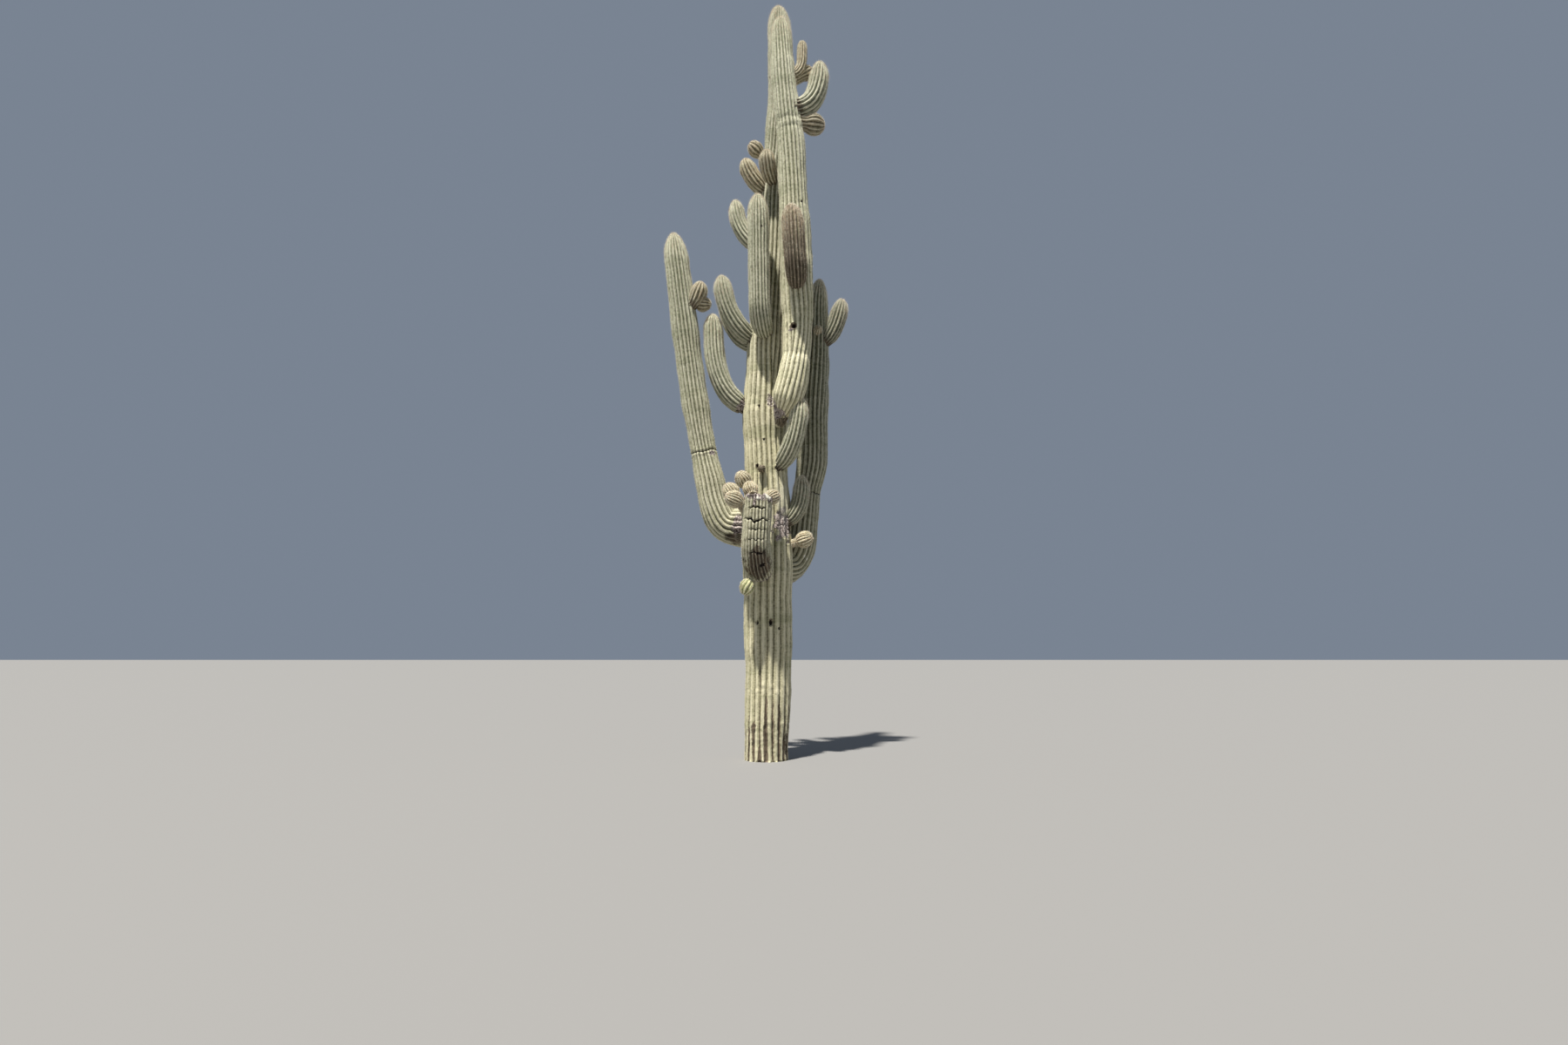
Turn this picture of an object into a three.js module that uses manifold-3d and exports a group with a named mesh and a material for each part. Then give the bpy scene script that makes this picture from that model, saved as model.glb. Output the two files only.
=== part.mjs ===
// Many-armed saguaro cactus: a ribbed trunk, three great arms, smaller arms, a broken stub and round pups.
// Millimetres, +Z up. The origin is the middle of the flat cut at ground level, +X is to the right as seen
// from the front, and the front faces -Y. A bearing is an angle in degrees in plan, from +X towards +Y.
import * as THREE from "three";
import { mergeVertices } from "three/addons/utils/BufferGeometryUtils.js";
import Module from "manifold-3d";

const wasm = await Module();
wasm.setup();

const CLEARANCE = 0.6; // how much wider a stem counts when the next one is cut to its surface
const SEAM = 0.3; // gap between the two solids of an arm that is split at its bend
const SAMPLES = 24; // points taken on each stretch of a centreline
const ROW_STEP = 700; // longest stretch between two rows of vertices
const ROW_TURN = 0.28; // largest turn between them, in radians
const ROW_SWELL = 34; // largest change of radius between them
const DOME_ROWS = 4; // rows on the rounded tip of a stem
const RIB_DEPTH = 0.12; // how far the valleys lie inside the crests, as a share of the radius

const ARM_NECK = 0.7; // radius of an arm where it leaves its parent, as a share of its full radius
const ARM_SWELL = 1.2; // stretch in which it grows to its full radius, in radii
const ARM_TAPER = 0.94; // radius near the tip, as a share of the full radius
const PUP_NECK = 0.5;
const PUP_TIP = 1.08; // from the middle of a pup's head to its tip, in radii

const MERGE_WITHIN = 0.01; // vertices closer than this become one
const GROUND_WIDTH = 2000; // the block that cuts everything flat at ground level
const GROUND_DEPTH = 1000;

const UP = new THREE.Vector3(0, 0, 1);

const finish = (color, roughness) => new THREE.MeshStandardMaterial({ color, roughness, metalness: 0 });
const SKIN = finish(0xa3a27c, 0.82);
const BROWN_SKIN = finish(0x7c6a4c, 0.9);
const SCARRED_SKIN = finish(0x8f8768, 0.88);
const YOUNG_SKIN = finish(0x9d8f6c, 0.86);

// The trunk as stations from the foot to the tip: height, x, y and the radius over the rib crests.
const TRUNK = {
  name: "trunk",
  ribs: 20,
  dome: 2.1,
  stations: [
    [-150, 4, 0, 278],
    [340, 14, 0, 283],
    [980, 33, 5, 294],
    [1830, 28, 5, 309],
    [2360, 27, 5, 315],
    [2895, 22, 5, 302],
    [3480, 7, 0, 270],
    [4200, -9, 2, 281],
    [4700, 11, 5, 266],
    [5450, 59, 20, 249],
    [6425, 128, 50, 233],
    [7550, 185, 75, 207],
    [8160, 200, 85, 183],
    [8700, 179, 90, 160],
    [9245, 154, 90, 146],
  ],
};

// The three great arms, as stations too. split is the station where the lower solid ends.
const GREAT_ARMS = [
  {
    name: "arm_front",
    ribs: 18,
    dome: 2.3,
    split: 4,
    stations: [
      [3994, 167, -215, 46],
      [4118, 188, -255, 106],
      [4308, 267, -345, 198],
      [4583, 337, -350, 187],
      [4871, 372, -320, 177],
      [5196, 382, -305, 190],
      [5929, 368, -325, 208],
      [6635, 333, -350, 183],
      [7317, 305, -360, 167],
      [7744, 252, -350, 164],
      [8086, 214, -330, 150],
      [8536, 193, -305, 135],
      [8835, 186, -285, 127],
    ],
  },
  {
    name: "arm_left",
    ribs: 18,
    dome: 2.6,
    split: 5,
    stations: [
      [2860, -60, 0, 262],
      [2830, -306, -20, 245],
      [2870, -492, -35, 216],
      [3092, -608, -45, 207],
      [3362, -668, -50, 186],
      [3763, -754, -50, 166],
      [4640, -898, -50, 173],
      [5510, -1010, -50, 169],
      [6005, -1071, -50, 157],
      [6392, -1119, -50, 151],
    ],
  },
  {
    name: "arm_right",
    ribs: 18,
    dome: 2.8,
    split: 5,
    stations: [
      [2320, 110, 60, 190],
      [2380, 285, 225, 216],
      [2560, 392, 288, 220],
      [2880, 450, 310, 208],
      [3350, 518, 320, 180],
      [3690, 575, 320, 202],
      [4095, 585, 320, 202],
      [4990, 611, 320, 193],
      [5640, 634, 315, 150],
      [5992, 672, 310, 118],
    ],
  },
];

// Smaller arms. Each leaves the centreline of the stem it grows on at the height at, runs out along bearing
// to a corner reach away and lift higher, and turns up there. Its tip stands rise above the corner, out
// further out and side to the left of the bearing. bend is the share of that rise that the turn takes.
const ARMS = [
  { name: "arm_centre", on: "trunk", at: 5130, bearing: 258, reach: 454, lift: -44, rise: 1572,
    out: 6, side: -28, bend: 0.2, radius: 139, ribs: 15, dome: 2.2 },
  { name: "arm_upper_left", on: "trunk", at: 6250, bearing: 178, reach: 464, lift: 9, rise: 614,
    out: 27, side: -39, bend: 1, radius: 112, ribs: 12, dome: 1.9 },
  { name: "arm_middle_left", on: "trunk", at: 5060, bearing: 199, reach: 502, lift: 72, rise: 701,
    out: 82, side: -28, bend: 0.85, radius: 128, ribs: 13, dome: 1.9 },
  { name: "arm_middle_rear", on: "trunk", at: 5000, bearing: 152, reach: 523, lift: 135, rise: 590,
    out: 93, side: 16, bend: 1, radius: 115, ribs: 12, dome: 1.9 },
  { name: "arm_lower_left", on: "trunk", at: 4250, bearing: 186, reach: 584, lift: 8, rise: 1150,
    out: 52, side: -16, bend: 0.7, radius: 136, ribs: 14, dome: 1.9 },
  { name: "arm_brown", on: "arm_front", at: 5620, bearing: 269, reach: 340, lift: -58, rise: 845,
    out: 34, side: -62, bend: 0.3, radius: 139, ribs: 14, dome: 1.7, brown: true },
  { name: "arm_lower_right", on: "trunk", at: 3500, bearing: 315, reach: 481, lift: 29, rise: 780,
    out: 65, side: 36, bend: 0.85, radius: 125, ribs: 12, dome: 1.9 },
  { name: "arm_outer_right", on: "arm_right", at: 5150, bearing: 337, reach: 263, lift: 23,
    rise: 525, out: 85, side: 20, bend: 1, radius: 121, ribs: 12, dome: 1.8 },
  { name: "arm_shaded", on: "trunk", at: 2850, bearing: 352, reach: 401, lift: -28, rise: 628,
    out: 22, side: 3, bend: 0.8, radius: 116, ribs: 12, dome: 1.9 },
  { name: "arm_top_right", on: "arm_front", at: 7700, bearing: 8, reach: 376, lift: -27, rise: 619,
    out: 15, side: -2, bend: 0.85, radius: 130, ribs: 14, dome: 1.8, neck: 1 },
];

// The arm that lost its tip: dome is small here, which leaves its broken top nearly flat.
const STUB = { name: "arm_stub", on: "trunk", at: 2290, bearing: 256, reach: 623, lift: -120, rise: 940,
  out: -12, side: 50, bend: 0.55, radius: 184, ribs: 18, dome: 0.12 };

// Young stems that already bend up like the arms.
const YOUNG_ARMS = [
  { name: "pup_top_upright", on: "arm_front", at: 8100, bearing: 12, reach: 224, lift: 30, rise: 430,
    out: 8, side: 0, bend: 0.5, radius: 68, ribs: 8, dome: 1.3, neck: 0.9 },
  { name: "pup_high_left", on: "trunk", at: 6880, bearing: 198, reach: 350, lift: 92, rise: 325,
    out: 65, side: -22, bend: 1, radius: 115, ribs: 10, dome: 1.3 },
  { name: "pup_high_front", on: "trunk", at: 6990, bearing: 249, reach: 378, lift: -28, rise: 300,
    out: 2, side: -5, bend: 0.6, radius: 108, ribs: 10, dome: 1.3 },
  { name: "pup_left_twin", on: "arm_left", at: 5440, bearing: 334, reach: 184, lift: 40, rise: 290,
    out: 60, side: 29, bend: 0.8, radius: 113, ribs: 10, dome: 1.2 },
];

// Pups: young round stems. Each leaves the parent's centreline at the height at, along bearing and pitch,
// and the middle of its swollen head is stand away from there.
const PUPS = [
  { name: "pup_top_behind", on: "arm_front", at: 8005, bearing: 26, pitch: 38, stand: 366,
    radius: 89, ribs: 10, neck: 0.8 },
  { name: "pup_top_shaded", on: "arm_front", at: 7555, bearing: 10, pitch: 0, stand: 300,
    radius: 124, ribs: 10, neck: 0.7 },
  { name: "pup_high_small", on: "trunk", at: 7234, bearing: 193, pitch: 35, stand: 362, radius: 98,
    ribs: 10, neck: 0.7 },
  { name: "pup_left_lobe", on: "arm_left", at: 5562, bearing: 358, pitch: -6, stand: 256, radius: 97,
    ribs: 10, neck: 0.7 },
  { name: "pup_right_small", on: "arm_right", at: 5256, bearing: 275, pitch: 4, stand: 250,
    radius: 60, ribs: 9 },
  { name: "pup_right_ball", on: "trunk", at: 2536, bearing: 352, pitch: 18, stand: 465, radius: 106,
    ribs: 10 },
  { name: "pup_crown_high", on: "trunk", at: 2909, bearing: 222, pitch: 50, stand: 592, radius: 103,
    ribs: 10 },
  { name: "pup_crown_left", on: "arm_stub", at: 2750, bearing: 167, pitch: 54, stand: 511,
    radius: 105, ribs: 10 },
  { name: "pup_crown_near", on: "arm_stub", at: 2961, bearing: 189, pitch: 20, stand: 282,
    radius: 104, ribs: 10 },
  { name: "pup_crown_mid", on: "arm_stub", at: 2971, bearing: 121, pitch: 55, stand: 295, radius: 93,
    ribs: 9, neck: 0.7 },
  { name: "pup_crown_right", on: "arm_stub", at: 3018, bearing: 39, pitch: 25, stand: 228, radius: 93,
    ribs: 10 },
  { name: "pup_elbow_bud", on: "trunk", at: 2671, bearing: 219, pitch: 0, stand: 420, radius: 61,
    ribs: 9 },
  { name: "pup_front_bud", on: "trunk", at: 3463, bearing: 261, pitch: 4, stand: 304, radius: 54,
    ribs: 9 },
  { name: "pup_stub_foot", on: "arm_stub", at: 2365, bearing: 194, pitch: -68, stand: 316, radius: 97,
    ribs: 9, neck: 0.4 },
];

const direction = (bearing, pitch = 0) => {
  const [b, p] = [bearing, pitch].map(THREE.MathUtils.degToRad);
  return new THREE.Vector3(Math.cos(b) * Math.cos(p), Math.sin(b) * Math.cos(p), Math.sin(p));
};

// A limb is its centreline as close points, with the heading, way along it and body radius at each point.
function limbFrom(spec, points, radii) {
  const along = [0];
  for (let i = 1; i < points.length; i++) along.push(along[i - 1] + points[i].distanceTo(points[i - 1]));
  const last = points.length - 1;
  const headings = points.map((_, i) => {
    return points[Math.min(i + 1, last)].clone().sub(points[Math.max(i - 1, 0)]);
  });
  return { ...spec, points, headings, radii, along, length: along.at(-1) };
}

function stationLimb(spec) {
  const { stations } = spec;
  const curve = new THREE.CatmullRomCurve3(stations.map(([up, x, y]) => new THREE.Vector3(x, y, up)));
  const last = stations.length - 1;
  const points = curve.getPoints(last * SAMPLES);
  const radii = points.map((_, i) => {
    const at = Math.min(Math.floor(i / SAMPLES), last - 1);
    return THREE.MathUtils.lerp(stations[at][3], stations[at + 1][3], i / SAMPLES - at);
  });
  return limbFrom(spec, points, radii);
}

// The place on a limb's centreline at a height, taken on its way up to the tip, and the body radius there.
function rootOn(limb, height) {
  const i = limb.points.findLastIndex((p, k) => k === 0 || p.z <= height);
  const [low, high] = [limb.points[i], limb.points[Math.min(i + 1, limb.points.length - 1)]];
  const share = high.z > low.z ? (height - low.z) / (high.z - low.z) : 0;
  return { root: low.clone().lerp(high, THREE.MathUtils.clamp(share, 0, 1)), surface: limb.radii[i] };
}

function armLimb(spec, parent) {
  const outward = direction(spec.bearing);
  const across = direction(spec.bearing + 90);
  const { root, surface } = rootOn(parent, spec.at);
  const corner = root.clone().addScaledVector(outward, spec.reach).addScaledVector(UP, spec.lift);
  const tip = corner.clone().addScaledVector(outward, spec.out).addScaledVector(across, spec.side);
  tip.addScaledVector(UP, spec.rise);
  const bendEnd = corner.clone().lerp(tip, spec.bend);
  const line = new THREE.QuadraticBezierCurve3(root, corner, bendEnd).getPoints(2 * SAMPLES);
  if (spec.bend < 1) line.push(...new THREE.LineCurve3(bendEnd, tip).getPoints(SAMPLES).slice(1));
  const taper = (i) => THREE.MathUtils.lerp(1, ARM_TAPER, i / (line.length - 1));
  const radii = line.map((_, i) => spec.radius * taper(i));
  const neck = { neck: spec.neck ?? ARM_NECK, neckLength: surface, swell: ARM_SWELL * spec.radius };
  return { ...limbFrom(spec, line, radii), ...neck };
}

function pupLimb(spec, parent) {
  const { root } = rootOn(parent, spec.at);
  const outward = direction(spec.bearing, spec.pitch);
  const tip = root.clone().addScaledVector(outward, spec.stand + PUP_TIP * spec.radius);
  const line = new THREE.LineCurve3(root, tip).getPoints(SAMPLES);
  const ball = { ball: true, neckLength: spec.stand - spec.radius, swell: spec.radius, dome: PUP_TIP };
  return { ...limbFrom(spec, line, line.map(() => spec.radius)), neck: spec.neck ?? PUP_NECK, ...ball };
}

// How far a quarter ellipse has risen at a share of its run.
const quarter = (share) => Math.sqrt(1 - (1 - THREE.MathUtils.clamp(share, 0, 1)) ** 2);

// The body radius at a way along a limb, narrowed to its neck at the root and rounded off at the tip. An arm
// swells gently from its neck, and a pup's head is a ball on it.
function radiusAt(limb, way) {
  const body = interpolate(limb, way, limb.radii);
  const tipward = quarter((limb.length - way) / (limb.dome * limb.radii.at(-1)));
  if (!limb.neck) return body * tipward;
  const grown = quarter((way - limb.neckLength) / limb.swell);
  const swollen = limb.ball ? Math.max(limb.neck, grown) : THREE.MathUtils.lerp(limb.neck, 1, grown);
  return body * tipward * swollen;
}

// A number or a vector given at each point of a limb, taken at a way along it.
function interpolate(limb, way, values) {
  const i = THREE.MathUtils.clamp(limb.along.findLastIndex((a) => a <= way), 0, limb.points.length - 2);
  const share = THREE.MathUtils.clamp((way - limb.along[i]) / (limb.along[i + 1] - limb.along[i]), 0, 1);
  if (values[i].isVector3) return values[i].clone().lerp(values[i + 1], share);
  return THREE.MathUtils.lerp(values[i], values[i + 1], share);
}

// The point, heading and cross-section axes at a way along a limb: +Z turned the shortest way onto the line.
function frameAt(limb, way) {
  const point = interpolate(limb, way, limb.points);
  const heading = interpolate(limb, way, limb.headings).normalize();
  const turn = new THREE.Quaternion().setFromUnitVectors(UP, heading);
  const [side, front] = [new THREE.Vector3(1, 0, 0), new THREE.Vector3(0, 1, 0)];
  return { point, heading, side: side.applyQuaternion(turn), front: front.applyQuaternion(turn) };
}

// The ways along a limb that get a row of vertices, between from and to: rows close up where the
// centreline turns or the radius changes, and towards the tip.
function rowWays(limb, from, to) {
  const domeStart = limb.length - limb.dome * limb.radii.at(-1);
  const bodyEnd = Math.min(to, domeStart);
  const ways = [from];
  let heading = interpolate(limb, from, limb.headings);
  limb.along.forEach((way, i) => {
    if (way <= from || bodyEnd - way < ROW_STEP / 8) return;
    const turn = limb.headings[i].angleTo(heading);
    const swell = Math.abs(radiusAt(limb, way) - radiusAt(limb, ways.at(-1)));
    if (way - ways.at(-1) < ROW_STEP && turn < ROW_TURN && swell < ROW_SWELL) return;
    ways.push(way);
    heading = limb.headings[i];
  });
  ways.push(bodyEnd);
  if (to < limb.length) return ways;
  for (let i = 1; i < DOME_ROWS; i++) {
    ways.push(domeStart + (limb.length - domeStart) * Math.sin((i * Math.PI) / 2 / DOME_ROWS));
  }
  return ways;
}

// One closed ribbed body along a limb: a lathe with two segments for each rib, its valleys drawn in, then
// laid along the centreline. grow widens it all round and lengthens it as much.
function ribbedGeometry(limb, from = 0, to = limb.length, grow = 0) {
  const rows = rowWays(limb, from, to).map((way) => new THREE.Vector2(radiusAt(limb, way) + grow, way));
  const profile = [new THREE.Vector2(0, from), ...rows, new THREE.Vector2(0, to)];
  const geometry = new THREE.LatheGeometry(profile, 2 * limb.ribs);
  const position = geometry.getAttribute("position");
  for (let i = 0; i < position.count; i++) {
    const [x, way, z] = [position.getX(i), position.getY(i), position.getZ(i)];
    const valley = 0.5 - 0.5 * Math.cos(limb.ribs * Math.atan2(x, z));
    const drawn = 1 - RIB_DEPTH * valley;
    const { point, heading, side, front } = frameAt(limb, way);
    point.addScaledVector(side, x * drawn).addScaledVector(front, -z * drawn);
    point.addScaledVector(heading, (grow * way) / limb.length);
    position.setXYZ(i, point.x, point.y, point.z);
  }
  return geometry;
}

function solidFrom(geometry) {
  const bare = new THREE.BufferGeometry().setAttribute("position", geometry.getAttribute("position"));
  const merged = mergeVertices(bare.setIndex(geometry.getIndex()), MERGE_WITHIN);
  const corners = merged.getIndex().array;
  const triangles = [];
  for (let i = 0; i < corners.length; i += 3) {
    const [a, b, c] = corners.slice(i, i + 3);
    if (a !== b && b !== c && c !== a) triangles.push(a, b, c);
  }
  const vertProperties = new Float32Array(merged.getAttribute("position").array);
  const triVerts = new Uint32Array(triangles);
  return new wasm.Manifold(new wasm.Mesh({ numProp: 3, vertProperties, triVerts }));
}

function geometryFrom(solid) {
  const { vertProperties, triVerts } = solid.getMesh();
  const geometry = new THREE.BufferGeometry();
  geometry.setAttribute("position", new THREE.BufferAttribute(new Float32Array(vertProperties), 3));
  return geometry.setIndex(new THREE.BufferAttribute(new Uint32Array(triVerts), 1));
}

const larger = (a, b) => (b.volume() > a.volume() ? b : a);

// The block under the flat cut at ground level.
const block = new THREE.BoxGeometry(GROUND_WIDTH, GROUND_WIDTH, GROUND_DEPTH);
const GROUND_BLOCK = solidFrom(block.translate(0, 0, -GROUND_DEPTH / 2));

const saguaro = new THREE.Group();
const standing = [GROUND_BLOCK]; // what the next stem is cut clear of: the ground and the widened stems

// Adds the one or two named solids of a limb, each cut to the surface of every stem that is already there.
function addLimb(limb, material) {
  const splitWay = limb.split ? limb.along[limb.split * SAMPLES] : 0;
  const stretches = splitWay
    ? [[`${limb.name}_elbow`, 0, splitWay - SEAM / 2], [limb.name, splitWay + SEAM / 2, limb.length]]
    : [[limb.name, 0, limb.length]];
  for (const [name, from, to] of stretches) {
    const whole = solidFrom(ribbedGeometry(limb, from, to));
    const cut = standing.reduce((body, other) => body.subtract(other), whole);
    const mesh = new THREE.Mesh(geometryFrom(cut.decompose().reduce(larger)), material);
    mesh.name = name;
    saguaro.add(mesh);
    standing.push(solidFrom(ribbedGeometry(limb, from, to, CLEARANCE)));
  }
  limbs.set(limb.name, limb);
}

const limbs = new Map();
addLimb(stationLimb(TRUNK), SKIN);
for (const spec of GREAT_ARMS) addLimb(stationLimb(spec), SKIN);
for (const spec of ARMS) addLimb(armLimb(spec, limbs.get(spec.on)), spec.brown ? BROWN_SKIN : SKIN);
addLimb(armLimb(STUB, limbs.get(STUB.on)), SCARRED_SKIN);
for (const spec of YOUNG_ARMS) addLimb(armLimb(spec, limbs.get(spec.on)), YOUNG_SKIN);
for (const spec of PUPS) addLimb(pupLimb(spec, limbs.get(spec.on)), YOUNG_SKIN);

export default saguaro;
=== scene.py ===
import math

import bpy
import numpy as np
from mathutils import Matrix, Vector


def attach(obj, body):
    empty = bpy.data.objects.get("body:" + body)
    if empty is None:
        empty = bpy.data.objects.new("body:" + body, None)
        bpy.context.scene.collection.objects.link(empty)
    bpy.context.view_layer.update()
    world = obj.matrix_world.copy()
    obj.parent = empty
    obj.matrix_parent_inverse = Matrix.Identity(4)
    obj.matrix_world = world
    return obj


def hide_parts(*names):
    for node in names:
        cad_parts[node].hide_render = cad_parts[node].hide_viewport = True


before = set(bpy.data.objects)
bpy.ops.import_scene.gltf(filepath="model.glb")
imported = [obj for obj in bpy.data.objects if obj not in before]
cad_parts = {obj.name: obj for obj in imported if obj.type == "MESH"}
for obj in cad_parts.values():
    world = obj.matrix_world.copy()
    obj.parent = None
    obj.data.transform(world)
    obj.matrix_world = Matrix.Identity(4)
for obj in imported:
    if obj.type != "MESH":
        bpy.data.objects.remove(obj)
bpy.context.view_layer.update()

# The plant's sizes.

ARM_NECK = 0.7  # thickness of an arm at its root, as a share of its radius
ARM_SWELL = 1.2  # how far from the root it comes to its full thickness, in radii
ARM_TAPER = 0.94  # its radius at the tip, as a share
PUP_NECK = 0.5
PUP_TIP = 1.08  # from the middle of a pup's head to its tip, in radii

# The trunk: height, x, y and radius over the crests. later holds the ribs that start part of the way up:
# the rib that each follows, and its height. dome is the length of the rounded tip in radii, and bands is how
# far the girth swells and shrinks along the limb. tone is how much paler or darker than others a limb is:
# partly its own colour and partly painted light and shade, darkest on the limbs that stood in shade, such as
# arm_right, arm_outer_right, arm_shaded and pup_top_shaded. lower names the solid of a limb's bend, which its
# skin replaces too.
TRUNK = dict(
    name="trunk", ribs=20, later=((3, 2.55), (9, 3.1), (14, 2.7), (18, 4.4)), dome=2.1, bands=0.016,
    stations=(
        (-0.15, 0.004, 0.0, 0.278), (0.34, 0.014, 0.0, 0.283), (0.98, 0.033, 0.005, 0.294),
        (1.83, 0.028, 0.005, 0.309), (2.36, 0.027, 0.005, 0.315), (2.895, 0.022, 0.005, 0.302),
        (3.48, 0.007, 0.0, 0.27), (4.2, -0.009, 0.002, 0.281), (4.7, 0.011, 0.005, 0.266),
        (5.45, 0.059, 0.02, 0.249), (6.425, 0.128, 0.05, 0.233), (7.55, 0.185, 0.075, 0.207),
        (8.16, 0.2, 0.085, 0.183), (8.7, 0.179, 0.09, 0.16), (9.245, 0.154, 0.09, 0.146),
    ),
)

GREAT_ARMS = (
    dict(
        name="arm_front", lower=("arm_front_elbow",), tone=0.18, ribs=18, later=((4, 4.6), (12, 5.2)),
        dome=2.3, bands=0.02,
        stations=(
            (3.994, 0.167, -0.215, 0.046), (4.118, 0.188, -0.255, 0.106), (4.308, 0.267, -0.345, 0.198),
            (4.583, 0.337, -0.35, 0.187), (4.871, 0.372, -0.32, 0.177), (5.196, 0.382, -0.305, 0.19),
            (5.929, 0.368, -0.325, 0.208), (6.635, 0.333, -0.35, 0.183), (7.317, 0.305, -0.36, 0.167),
            (7.744, 0.252, -0.35, 0.164), (8.086, 0.214, -0.33, 0.15), (8.536, 0.193, -0.305, 0.135),
            (8.835, 0.186, -0.285, 0.127),
        ),
    ),
    dict(
        name="arm_left", lower=("arm_left_elbow",), ribs=20, dome=2.6, bands=0.02,
        stations=(
            (2.86, -0.06, 0.0, 0.262), (2.83, -0.306, -0.02, 0.245), (2.87, -0.492, -0.035, 0.216),
            (3.092, -0.608, -0.045, 0.207), (3.362, -0.668, -0.05, 0.186), (3.763, -0.754, -0.05, 0.166),
            (4.64, -0.898, -0.05, 0.173), (5.51, -1.01, -0.05, 0.169), (6.005, -1.071, -0.05, 0.157),
            (6.392, -1.119, -0.05, 0.151),
        ),
    ),
    dict(
        name="arm_right", lower=("arm_right_elbow",), tone=-0.18, ribs=20, dome=2.8, bands=0.02,
        stations=(
            (2.32, 0.11, 0.06, 0.19), (2.38, 0.285, 0.225, 0.216), (2.56, 0.392, 0.288, 0.22),
            (2.88, 0.45, 0.31, 0.208), (3.35, 0.518, 0.32, 0.18), (3.69, 0.575, 0.32, 0.202),
            (4.095, 0.585, 0.32, 0.202), (4.99, 0.611, 0.32, 0.193), (5.64, 0.634, 0.315, 0.15),
            (5.992, 0.672, 0.31, 0.118),
        ),
    ),
)

# Smaller arms. Each leaves the centreline of the stem it grows on at the height at, runs out along bearing to
# a corner reach away and lift higher, and turns up there. Its tip stands rise above the corner, out further
# out and side to the left of the bearing. bend is the share of that upright run that the turn takes. look is
# the kind of skin and spines.
ARM_SIZES = "name on at bearing reach lift rise out side bend radius ribs dome".split()


def arm(*sizes, **more):
    return dict(zip(ARM_SIZES, sizes), **more)


ARMS = (
    arm("arm_centre", "trunk", 5.13, 258, 0.454, -0.044, 1.572, 0.006, -0.028, 0.2, 0.139, 18, 2.2,
        tone=0.02),
    arm("arm_upper_left", "trunk", 6.25, 178, 0.464, 0.009, 0.614, 0.027, -0.039, 1, 0.112, 14, 1.9),
    arm("arm_middle_left", "trunk", 5.06, 199, 0.502, 0.072, 0.701, 0.082, -0.028, 0.85, 0.128, 15, 1.9,
        tone=-0.15),
    arm("arm_middle_rear", "trunk", 5.0, 152, 0.523, 0.135, 0.59, 0.093, 0.016, 1, 0.115, 13, 1.9,
        tone=-0.1),
    arm("arm_lower_left", "trunk", 4.25, 186, 0.584, 0.008, 1.15, 0.052, -0.016, 0.7, 0.136, 16, 1.9,
        root_ring=0.09),
    arm("arm_brown", "arm_front", 5.62, 269, 0.34, -0.058, 0.845, 0.034, -0.062, 0.3, 0.139, 18, 1.7,
        look="brown"),
    arm("arm_lower_right", "trunk", 3.5, 315, 0.481, 0.029, 0.78, 0.065, 0.036, 0.85, 0.125, 15, 1.9),
    arm("arm_outer_right", "arm_right", 5.15, 337, 0.263, 0.023, 0.525, 0.085, 0.02, 1, 0.121, 15, 1.8,
        tone=-0.48),
    arm("arm_shaded", "trunk", 2.85, 352, 0.401, -0.028, 0.628, 0.022, 0.003, 0.8, 0.116, 15, 1.9,
        tone=-0.28),
    arm("arm_top_right", "arm_front", 7.7, 8, 0.376, -0.027, 0.619, 0.015, -0.002, 0.85, 0.13, 16, 1.8,
        neck=1.0),
)

# The arm that lost its tip. lost is how much of it is gone.
STUB = arm("arm_stub", "trunk", 2.29, 256, 0.623, -0.12, 0.94, -0.012, 0.05, 0.55, 0.184, 24, 0.12,
           look="scarred", lost=1.5)

# Young stems that already bend up like the arms.
YOUNG_ARMS = (
    arm("pup_top_upright", "arm_front", 8.1, 12, 0.224, 0.03, 0.43, 0.008, 0.0, 0.5, 0.068, 12, 1.3,
        neck=0.9, tone=-0.1),
    arm("pup_high_left", "trunk", 6.88, 198, 0.35, 0.092, 0.325, 0.065, -0.022, 1, 0.115, 14, 1.3,
        tone=-0.04),
    arm("pup_high_front", "trunk", 6.99, 249, 0.378, -0.028, 0.3, 0.002, -0.005, 0.6, 0.108, 14, 1.3,
        tone=-0.26),
    arm("pup_left_twin", "arm_left", 5.44, 334, 0.184, 0.04, 0.29, 0.06, 0.029, 0.8, 0.113, 13, 1.2,
        tone=-0.3),
)

# Pups: each leaves the parent's centreline at the height at, along bearing and pitch, and the middle of its
# swollen head is stand away from there. twist is how fast its ribs turn round it.
PUP_SIZES = "name on at bearing pitch stand radius ribs".split()


def pup(*sizes, **more):
    return dict(zip(PUP_SIZES, sizes), **more)


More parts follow.
